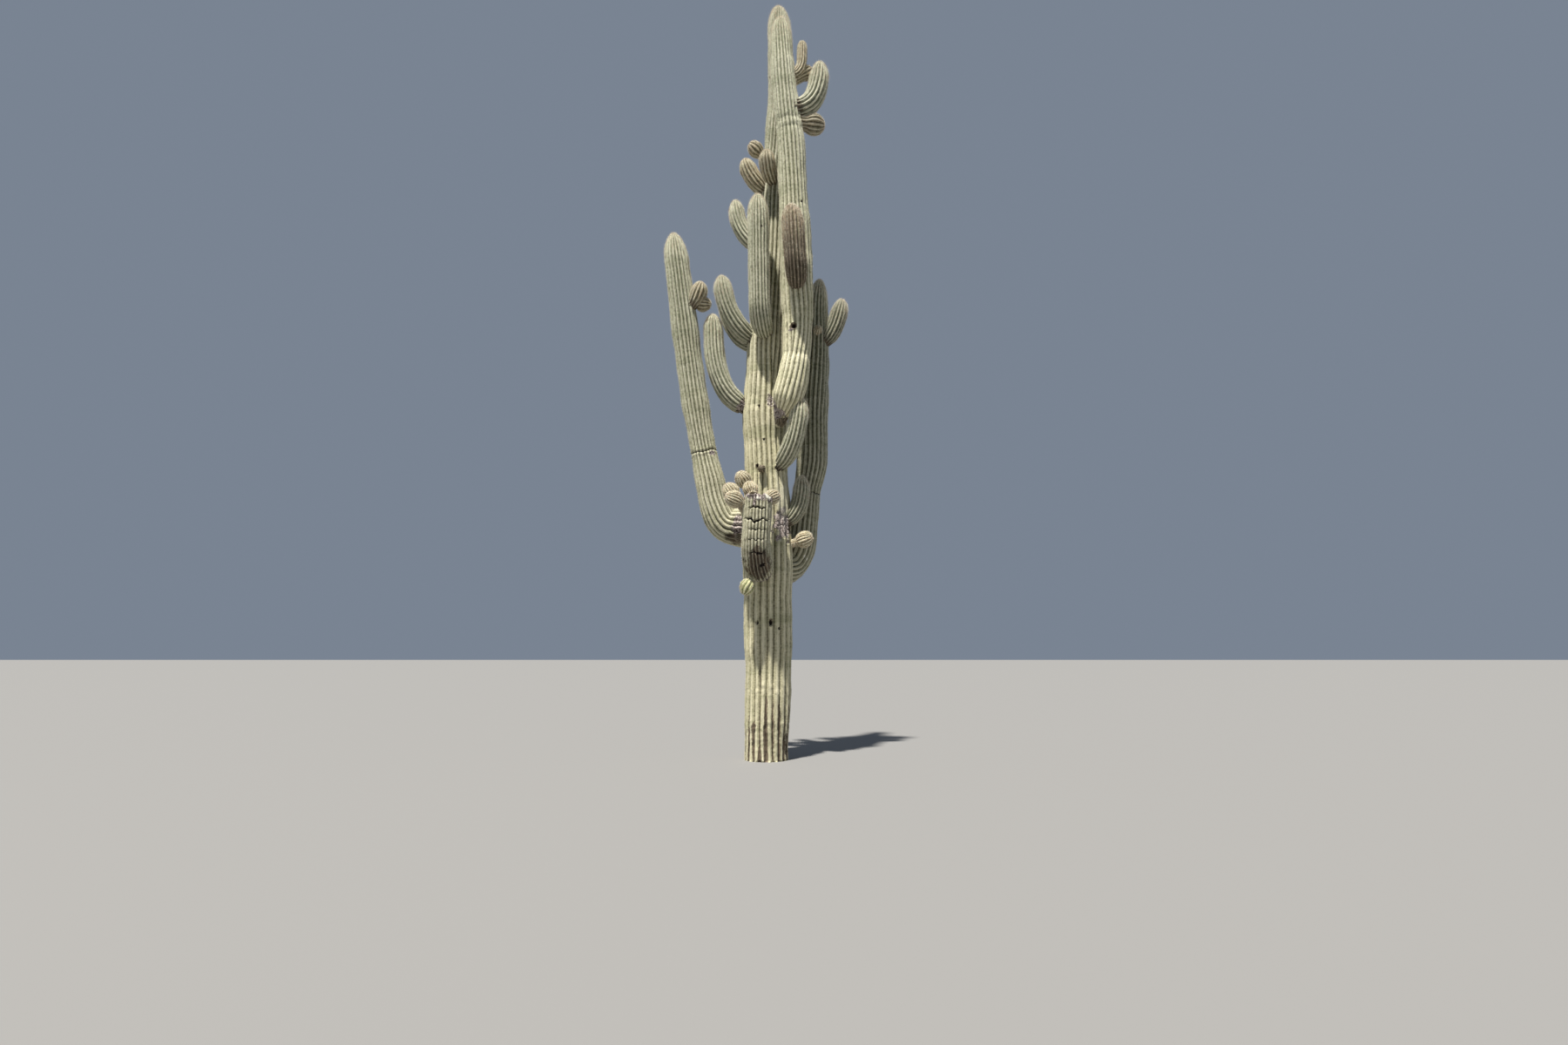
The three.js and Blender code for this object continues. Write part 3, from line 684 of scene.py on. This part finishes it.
def add_values(mesh, name, values):
    """Keeps a number or a vector for every vertex under a name that the material reads."""
    kind, field = ("FLOAT", "value") if values.ndim == 1 else ("FLOAT_VECTOR", "vector")
    mesh.attributes.new(name, kind, "POINT").data.foreach_set(field, values.astype(np.float32).ravel())


def add_skin(limb, skin, material):
    rows, columns = skin["crest"].shape
    tip = limb.points[-1] if limb.name != STUB["name"] else skin["points"][-1].mean(axis=0)
    foot = skin["points"][0].mean(axis=0)
    vertices = np.vstack([skin["points"].reshape(-1, 3), foot, tip])
    quads, fans = grid_faces(rows, columns)
    corners = np.concatenate([quads.ravel(), fans.ravel()])
    sizes = np.concatenate([np.full(len(quads), 4), np.full(len(fans), 3)])
    piece = add_mesh("skin_" + limb.name, vertices, corners, sizes, material)
    ends = dict(ridge=(0, 1), age=(1, 0), scar=(0, skin["scar"][-1].mean()), cork=(0, 0), hollow_shade=(0, 0),
                pale=(0, 0), tone=(1, 1))  # what the foot and tip vertices get
    for key, end in ends.items():
        add_values(piece.data, key, np.concatenate([skin[key].ravel(), end]))
    line_ends = ((0, 0, limb.start), (0, 0, limb.length))
    add_values(piece.data, "straight", np.vstack([skin["straight"].reshape(-1, 3), *line_ends]))
    return piece


# Areoles and spines.

CLOSE_AREOLES = 0.021  # from one areole to the next on a crest, near a tip and on a pup
OPEN_AREOLES = 0.036  # the same on old skin
BARE_FROM = 0.35  # how scarred, corky or hollow skin is where areoles are gone
PAD_SIZE = 0.0032  # half the width of an areole's felt at a tip
PAD_GROWTH = 0.0015  # what it gains further down
TIP_STRETCH = 0.5  # how far below a tip the spines stay long and close
SPINES_EACH = 4.1  # spines to an areole halfway down
MORE_YOUNG = 8.0  # how many more at a tip
FEWER_OLD = 1.9
MORE_ON_PUPS = 4  # on pups and on the brown arm
LONG_SPINE = 0.031
SHORT_SPINE = 0.012
PUP_SPINE = 0.020
BUD_SPINE = 0.007
SPINE_THICK = 0.0016
PIECE_TRIANGLES = 190000

SPINE_KINDS = {
    # The plain base colour of each kind of spine.
    "cream": (0.77, 0.72, 0.59),
    "tan": (0.62, 0.49, 0.37),
    "grey": (0.50, 0.46, 0.36),
    "brown": (0.20, 0.13, 0.08),
}


def other_limbs_clear(places, limb, limbs):
    """Which places lie outside every other limb."""
    clear = np.ones(len(places), bool)
    for other in limbs.values():
        if other is limb:
            continue
        radii = other.radius(other.along)
        low = (other.points - radii[:, None]).min(axis=0)
        high = (other.points + radii[:, None]).max(axis=0)
        near = clear & (places > low).all(axis=1) & (places < high).all(axis=1)
        if not near.any():
            continue
        apart = np.linalg.norm(places[near][:, None] - other.points[None], axis=2)
        nearest = apart.argmin(axis=1)
        clear[near] = apart[np.arange(len(nearest)), nearest] > 0.93 * radii[nearest]
    return clear


def areole_stops(limb, skin, along, random):
    """The ways along one crest at which its areoles sit."""
    at, stops = random.uniform(0.0, CLOSE_AREOLES), []
    while at < along[-1]:
        stops.append(at)
        old = smooth(0.3, 3.0, limb.length - np.interp(at, along, skin["ways"]))
        at += (CLOSE_AREOLES + (OPEN_AREOLES - CLOSE_AREOLES) * old) * random.uniform(0.85, 1.15)
    return np.array(stops)


def areoles_on(limb, skin, limbs):
    """Places, outward normals, crest directions and distances below the tip of a limb's areoles."""
    random = np.random.default_rng(limb.seed + 31)
    spoilt = np.maximum(np.maximum(skin["scar"], skin["cork"]), skin["hollow_shade"])
    first_crest = np.nonzero(np.isclose(RIB_PLACES, 0.5))[0][0]
    found = []
    for column in range(first_crest, skin["crest"].shape[1], len(RIB_PLACES)):
        line = skin["points"][:, column]
        along = ways_along(line)
        stops = areole_stops(limb, skin, along, random)
        place = between(stops, along, line)
        tangent = unit(between(stops, along, np.gradient(line, axis=0)))
        outward = place - between(stops, along, skin["middles"])
        outward = unit(outward - tangent * (outward * tangent).sum(axis=1, keepdims=True))
        below = limb.length - np.interp(stops, along, skin["ways"])
        bare = np.interp(stops, along, spoilt[:, column])
        crest = np.interp(stops, along, skin["crest"][:, column])
        keep = (bare < BARE_FROM) & (crest > 0.3) & (below + limb.lost > 0.004)
        found.append(np.column_stack([place, outward, tangent, below])[keep])
    table = np.vstack(found)
    table = table[other_limbs_clear(table[:, :3], limb, limbs)]
    return table[table[:, 2] > 0.02]


def spine_plan(limb, below, random):
    """How many spines an areole has, how long they are, and their kind, by its distance below the tip."""
    below = below + limb.lost
    young = smooth(TIP_STRETCH, 0.08, below)
    old = smooth(1.2, 4.5, below)
    stray = random.uniform(-0.5, 0.5, len(below))
    count = np.round(SPINES_EACH + MORE_YOUNG * young - FEWER_OLD * old + stray).astype(int)
    long = SHORT_SPINE + (LONG_SPINE - SHORT_SPINE) * (0.3 + 0.7 * young) * (1.0 - 0.4 * old)
    pick = random.random(len(below))
    kind = np.where(pick < 0.72, "cream", "tan")
    kind = np.where(pick < 0.8 * old, "grey", kind)
    if limb.look == "brown":
        light = smooth(0.5, 0.15, below)
        count = count + MORE_ON_PUPS
        long = np.maximum(long, 0.7 * LONG_SPINE)
        kind = np.where(pick < 0.35 + 0.6 * light, "tan", "brown")
        kind = np.where(pick < 0.1 + 0.5 * light, "cream", kind)
    elif limb.look in ("young", "fresh"):
        count = count + MORE_ON_PUPS
        long = np.minimum(long, PUP_SPINE * min(1.0, limb.radii[-1] / 0.09))
        kind = np.where(pick < 0.62, "cream", "tan")
    elif limb.look == "bud":
        long = np.full(len(below), BUD_SPINE)
        kind = np.where(pick < 0.3, "tan", "brown")
    return count, long, kind


def spines_from(areoles, counts, lengths, random):
    """Three-sided spines that fan out of each areole, the first nearly upright."""
    which = np.repeat(np.arange(len(areoles)), counts)
    many = len(which)
    place, outward, tangent = (areoles[which, i:i + 3] for i in (0, 3, 6))
    across = np.cross(outward, tangent)
    number = np.arange(many) - np.repeat(np.cumsum(counts) - counts, counts)
    turn = math.tau * number / np.maximum(counts[which] - 1, 1) + random.uniform(-0.5, 0.5, many)
    central = number == 0
    rise = np.where(central, random.uniform(0.9, 1.4, many), random.uniform(0.25, 0.75, many))
    spread = np.cos(turn)[:, None] * tangent + np.sin(turn)[:, None] * across
    heading = unit(np.cos(rise)[:, None] * spread + np.sin(rise)[:, None] * outward)
    length = lengths[which] * np.where(central, 1.15, random.uniform(0.65, 1.05, many))
    one = unit(np.cross(heading, outward + 0.01 * tangent))
    two = np.cross(heading, one)
    foot = place - 0.001 * outward
    ring = []
    for corner in (0.0, math.tau / 3.0, 2.0 * math.tau / 3.0):
        ring.append(foot + 0.5 * SPINE_THICK * (math.cos(corner) * one + math.sin(corner) * two))
    return np.stack([*ring, foot + heading * length[:, None]], axis=1)


def pads_from(areoles):
    """The low felt cushion of each areole: four sides to a blunt point."""
    place, outward, tangent = (areoles[:, i:i + 3] for i in (0, 3, 6))
    sizes = PAD_SIZE + PAD_GROWTH * smooth(0.0, 1.0, areoles[:, 9])
    across = np.cross(outward, tangent)
    ring = []
    for i in range(4):
        turn = 0.5 * math.pi * i
        flat = 1.25 * math.cos(turn) * tangent + math.sin(turn) * across
        ring.append(place + sizes[:, None] * flat - 0.0015 * outward)
    return np.stack([*ring, place + 0.55 * sizes[:, None] * outward], axis=1)


def add_cones(name, groups, material):
    """Spines or pads, each a ring of corners and a tip, joined into pieces of limited size."""
    cones = np.concatenate(groups)
    sides = cones.shape[1] - 1
    parts = math.ceil(len(cones) / (PIECE_TRIANGLES // sides))
    made = []
    for part in range(parts):
        own = cones[len(cones) * part // parts:len(cones) * (part + 1) // parts]
        base = (sides + 1) * np.arange(len(own))[:, None]
        corners = np.concatenate([base + (i, (i + 1) % sides, sides) for i in range(sides)], axis=1)
        sizes = np.full(sides * len(own), 3)
        piece = add_mesh(f"{name}_{part + 1}", own.reshape(-1, 3), corners.ravel(), sizes, material, False)
        made.append(piece)
    return made


# Materials.

SHADED = (0.56, 0.60, 0.50)  # multiplies skin in its darker, greener patches and bands
STREAK = (0.10, 0.11, 0.05)
SPECKLE = (0.52, 0.48, 0.33)
PALE_CRUST = (0.72, 0.70, 0.60)
# painted shade: the near-black laid in holes, cracks, band grooves and the low pits of scars, cork and the
# stub's break
HOLLOW_SHADE = (0.018, 0.013, 0.010)
CORK_CRACK = (0.030, 0.021, 0.016)
CORK = (0.135, 0.098, 0.068)
CORK_RIDGE = (0.36, 0.30, 0.23)
SCAR_PIT = (0.050, 0.036, 0.034)
SCAR_DARK = (0.105, 0.078, 0.076)
SCAR = (0.42, 0.355, 0.335)
SCAR_FLECK = (0.74, 0.68, 0.62)
FELT = (0.55, 0.50, 0.40)

# Each skin's groove, flank and crest. The grooves' near-black is partly the skin's darker colour there and
# partly painted shade in the grooves.
SKIN_TONES = {
    "skin": ((0.048, 0.046, 0.030), (0.270, 0.275, 0.190), (0.62, 0.605, 0.48)),
    "brown_skin": ((0.018, 0.012, 0.008), (0.074, 0.054, 0.036), (0.28, 0.235, 0.175)),
    "scarred_skin": ((0.062, 0.050, 0.034), (0.36, 0.34, 0.235), (0.62, 0.60, 0.46)),
    "young_skin": ((0.050, 0.034, 0.019), (0.30, 0.252, 0.158), (0.68, 0.63, 0.48)),
    "fresh_skin": ((0.055, 0.050, 0.018), (0.27, 0.28, 0.13), (0.62, 0.60, 0.37)),
}
# The same far below the tip, where it differs.
OLD_TONES = {
    "skin": ((0.098, 0.080, 0.048), (0.47, 0.435, 0.285), (0.73, 0.675, 0.475)),
}

# The slot of each look; the plain one has the slot skin.
SLOTS = {
    "brown": "brown_skin", "bud": "brown_skin", "scarred": "scarred_skin", "young": "young_skin",
    "fresh": "young_skin",
}


class Shader:
    """A node material under way: add() makes a node with its inputs set or linked."""

    def __init__(self, name):
        self.material = bpy.data.materials.new(name)
        self.material.use_nodes = True
        self.tree = self.material.node_tree
        self.surface = self.tree.nodes["Principled BSDF"]

    def add(self, kind, settings=None, **inputs):
        node = self.tree.nodes.new(kind)
        for key, value in (settings or {}).items():
            setattr(node, key, value)
        for key, value in inputs.items():
            self.give(node.inputs[key.replace("_", " ")], value)
        return node

    def give(self, socket, value):
        if isinstance(value, bpy.types.NodeSocket):
            self.tree.links.new(value, socket)
        elif socket.type == "RGBA":
            socket.default_value = (*value, 1.0)
        else:
            socket.default_value = value

    def value(self, name, output="Fac"):
        """What add_values kept under a name at each vertex."""
        return self.add("ShaderNodeAttribute", {"attribute_name": name}).outputs[output]

    def noise(self, place, scale, stretch=(1.0, 1.0, 1.0), detail=3.0, rough=0.55):
        spread = self.add("ShaderNodeMapping", Vector=place, Scale=stretch)
        made = self.add("ShaderNodeTexNoise", Vector=spread.outputs["Vector"], Scale=scale, Detail=detail,
                        Roughness=rough)
        return made.outputs["Fac"]

    def map(self, value, low, high, start=0.0, end=1.0):
        node = self.add("ShaderNodeMapRange", {"clamp": True, "interpolation_type": "SMOOTHSTEP"})
        for number, given in enumerate((value, low, high, start, end)):
            self.give(node.inputs[number], given)
        return node.outputs["Result"]

    def math(self, operation, one, two):
        node = self.add("ShaderNodeMath", {"operation": operation})
        self.give(node.inputs[0], one)
        self.give(node.inputs[1], two)
        return node.outputs["Value"]

    def plus(self, one, two, share=1.0):
        """One value and a share of another."""
        return self.math("ADD", one, two if share == 1.0 else self.math("MULTIPLY", two, share))

    def swing(self, noise, strength):
        """A noise about nothing instead of about one half, times strength."""
        return self.math("MULTIPLY", self.math("SUBTRACT", noise, 0.5), strength)

    def tint(self, colour, tone, value, low, high, most=1.0):
        """Mixes a tone into a colour, from none where value is low to most where it is high."""
        return self.mix(self.map(value, low, high, 0.0, most), colour, tone)

    def mix(self, share, one, two, blend="MIX"):
        node = self.add("ShaderNodeMix", {"data_type": "RGBA", "blend_type": blend})
        self.give(node.inputs["Factor"], share)
        self.give(node.inputs[6], one)
        self.give(node.inputs[7], two)
        return node.outputs[2]


def rib_tones(shader, place, tones, old_tones):
    """The colour of clean skin: grooves darkened partly by painted shade, flanks and pale crest lines, with
    growth bands and mottling.
    """
    patches = shader.noise(place, 3.0, (1, 1, 0.6), 4.0)
    rings = shader.noise(place, 6.5, (0.12, 0.12, 1), 3.0, 0.7)
    streaks = shader.noise(place, 60.0, (1, 1, 0.08), 3.0)
    mottle = shader.noise(place, 42.0, (1, 1, 1), 5.0, 0.7)
    beads = shader.noise(place, 75.0, (1, 1, 0.55), 2.0)

    older = shader.map(shader.plus(shader.value("age"), patches, 0.5), 0.35, 1.25)
    groove, flank, crest = (shader.mix(older, *pair) for pair in zip(tones, old_tones))
    flank = shader.tint(flank, crest, mottle, 0.42, 0.66, 0.5)
    flank = shader.tint(flank, groove, mottle, 0.46, 0.32, 0.45)
    edge = shader.plus(shader.value("ridge"), shader.swing(mottle, 0.5))
    # partly painted shade: the groove colour towards the bottom of each groove
    colour = shader.mix(shader.map(edge, 0.02, shader.map(older, 0.0, 1.0, 0.3, 0.2)), groove, flank)
    wide = shader.plus(shader.plus(edge, shader.swing(beads, 0.45)), older, 0.12)
    colour = shader.tint(colour, crest, wide, 0.62, 0.98)
    colour = shader.tint(colour, STREAK, streaks, 0.35, 0.75, 0.3)
    for noise, low, high, most in ((rings, 0.48, 0.68, 0.6), (patches, 0.35, 0.7, 0.3)):
        colour = shader.tint(colour, shader.mix(1.0, colour, SHADED, "MULTIPLY"), noise, low, high, most)
    # the limb's tone: partly its own colour, partly painted light and shade
    return shader.mix(1.0, colour, shader.value("tone"), "MULTIPLY")


def cork_tone(shader, place):
    """Brown-black cracked bark with grey ridges."""
    cracks = shader.noise(place, 34.0, (1, 1, 0.3), 5.0, 0.7)
    tone = shader.tint(CORK_CRACK, CORK, cracks, 0.36, 0.56)
    return shader.tint(tone, CORK_RIDGE, cracks, 0.56, 0.74)


def scar_tone(shader, place, crust):
    """Healed skin: lilac grey with dark pits and white flecks."""
    flecks = shader.noise(place, 85.0, (1, 1, 1), 3.0, 0.6)
    tone = shader.tint(SCAR_DARK, SCAR, crust, 0.38, 0.56)
    tone = shader.tint(tone, SCAR_FLECK, flecks, 0.56, 0.64)
    return shader.tint(tone, SCAR_PIT, flecks, 0.48, 0.42)


def skin_bump(shader, place, speckle, crust, worn):
    """Fine wrinkles and pores, and rough crust on cork and scars."""
    wrinkles = shader.noise(place, 60.0, (0.7, 0.7, 1.6), 4.0, 0.65)
    relief = shader.plus(shader.math("MULTIPLY", wrinkles, 0.6), speckle, 0.3)
    height = shader.plus(relief, shader.math("MULTIPLY", crust, worn), 2.6)
    return shader.add("ShaderNodeBump", Height=height, Strength=0.6, Distance=0.006).outputs["Normal"]


def skin_material(name, tones):
    """Ribbed skin with its scars, cork, pale crusts, and painted shade in its holes, cracks and pits."""
    shader = Shader(name)
    place = shader.value("straight", "Vector")
    speckle = shader.noise(place, 210.0, (1, 1, 1), 2.0)
    crust = shader.noise(place, 40.0, (1, 1, 0.8), 5.0, 0.75)
    ragged = shader.swing(crust, 1.7)

    colour = rib_tones(shader, place, tones, OLD_TONES.get(name, tones))
    colour = shader.tint(colour, SPECKLE, speckle, 0.56, 0.74, 0.4)
    brown = shader.map(shader.plus(shader.value("cork"), ragged), 0.25, 0.75, 0.0, 0.92)
    brown = shader.math("MULTIPLY", brown, shader.map(shader.value("ridge"), 0.65, 1.0, 1.0, 0.6))
    colour = shader.mix(brown, colour, cork_tone(shader, place))
    healed = shader.map(shader.plus(shader.value("scar"), ragged), 0.3, 0.75, 0.0, 0.95)
    colour = shader.mix(healed, colour, scar_tone(shader, place, crust))
    colour = shader.mix(shader.value("pale"), colour, PALE_CRUST)
    # painted shade: near-black in holes, cracks, band grooves and low pits
    colour = shader.tint(colour, HOLLOW_SHADE, shader.value("hollow_shade"), 0.2, 0.85)

    worn = shader.math("MAXIMUM", brown, healed)
    surface = shader.surface.inputs
    shader.give(surface["Base Color"], colour)
    shader.give(surface["Roughness"], shader.map(worn, 0.0, 1.0, 0.66, 0.95))
    shader.give(surface["Specular IOR Level"], 0.3)
    shader.give(surface["Normal"], skin_bump(shader, place, speckle, crust, worn))
    return shader.material


def plain_material(name, colour, roughness):
    shader = Shader(name)
    shader.give(shader.surface.inputs["Base Color"], colour)
    shader.give(shader.surface.inputs["Roughness"], roughness)
    return shader.material


def dress():
    """Every skin, spine and areole pad, riding on the plant's one body."""
    limbs = grow_limbs()
    skins = {name: skin_material(name, tones) for name, tones in SKIN_TONES.items()}
    spines = {kind: [] for kind in SPINE_KINDS}
    pads = []
    pieces = []
    for limb in limbs.values():
        skin = make_skin(limb)
        slot = SLOTS.get(limb.look, "skin")
        piece = add_skin(limb, skin, skins["fresh_skin" if limb.look == "fresh" else slot])
        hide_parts(limb.name, *limb.spec.get("lower", ()))
        pieces.append(piece)
        areoles = areoles_on(limb, skin, limbs)
        random = np.random.default_rng(limb.seed + 77)
        counts, lengths, kinds = spine_plan(limb, areoles[:, 9], random)
        for kind, groups in spines.items():
            some = kinds == kind
            if some.any():
                groups.append(spines_from(areoles[some], counts[some], lengths[some], random))
        pads.append(pads_from(areoles))
    for kind, groups in spines.items():
        material = plain_material("spine_" + kind, SPINE_KINDS[kind], 0.55)
        slot = "brown_skin" if kind == "brown" else "young_skin"
        pieces += add_cones("spines_" + kind, groups, material)
    pieces += add_cones("areoles", pads, plain_material("areole_felt", FELT, 0.95))
    for piece in pieces:
        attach(piece, "root")


# The camera, floor and light.

CAMERA_PLACE = (0.224, -10.2, 1.30)
CAMERA_LENS = 19.2
CAMERA_SENSOR = 36.0
HORIZON_BELOW_MIDDLE = 150 / 1800  # pixels of the photograph, as a share of its width
FAR = 500.0  # as far as the camera sees

FLOOR_SIZE = 300.0
FLOOR_COLOUR = (0.215, 0.211, 0.205)
SKY_COLOUR = (0.62, 0.74, 0.93)
SKY_STRENGTH = 0.31
SUN_TRAVEL = (0.48, 1.0, -2.7)
SUN_COLOUR = (1.0, 0.965, 0.90)
SUN_STRENGTH = 7.4
SUN_SPREAD = 2.0  # degrees
FILL_PLACE = (-9.0, -12.0, 6.0)
FILL_TRAVEL = (0.8, 1.0, -0.2)
FILL_COLOUR = (1.0, 0.98, 0.95)
FILL_POWER = 40.0
FILL_SIZE = 6.0


def add_camera():
    camera = bpy.data.cameras.new("camera")
    camera.lens = CAMERA_LENS
    camera.sensor_width = CAMERA_SENSOR
    camera.shift_y = HORIZON_BELOW_MIDDLE
    camera.clip_end = FAR
    holder = put("camera", camera, CAMERA_PLACE)
    holder.rotation_euler = (math.pi / 2, 0.0, 0.0)
    bpy.context.scene.camera = holder


def add_light(name, kind, energy, travel, colour, place=(0.0, 0.0, 12.0)):
    light = bpy.data.lights.new(name, kind)
    light.energy = energy
    light.color = colour
    put(name, light, place).rotation_euler = Vector(travel).to_track_quat("-Z", "Y").to_euler()
    return light


def add_stage():
    bpy.ops.mesh.primitive_plane_add(size=FLOOR_SIZE)
    floor = bpy.context.object
    floor.name = "floor"
    floor.data.materials.append(plain_material("floor_pale", FLOOR_COLOUR, 0.9))
    world = bpy.data.worlds.new("studio")
    world.use_nodes = True
    background = world.node_tree.nodes["Background"]
    background.inputs["Color"].default_value = (*SKY_COLOUR, 1.0)
    background.inputs["Strength"].default_value = SKY_STRENGTH
    bpy.context.scene.world = world
    bpy.context.scene.view_settings.view_transform = "Standard"
    sun = add_light("key", "SUN", SUN_STRENGTH, SUN_TRAVEL, SUN_COLOUR)
    sun.angle = math.radians(SUN_SPREAD)
    fill = add_light("fill", "AREA", FILL_POWER, FILL_TRAVEL, FILL_COLOUR, FILL_PLACE)
    fill.shape = "DISK"
    fill.size = FILL_SIZE


def main():
    add_camera()
    dress()
    add_stage()


main()
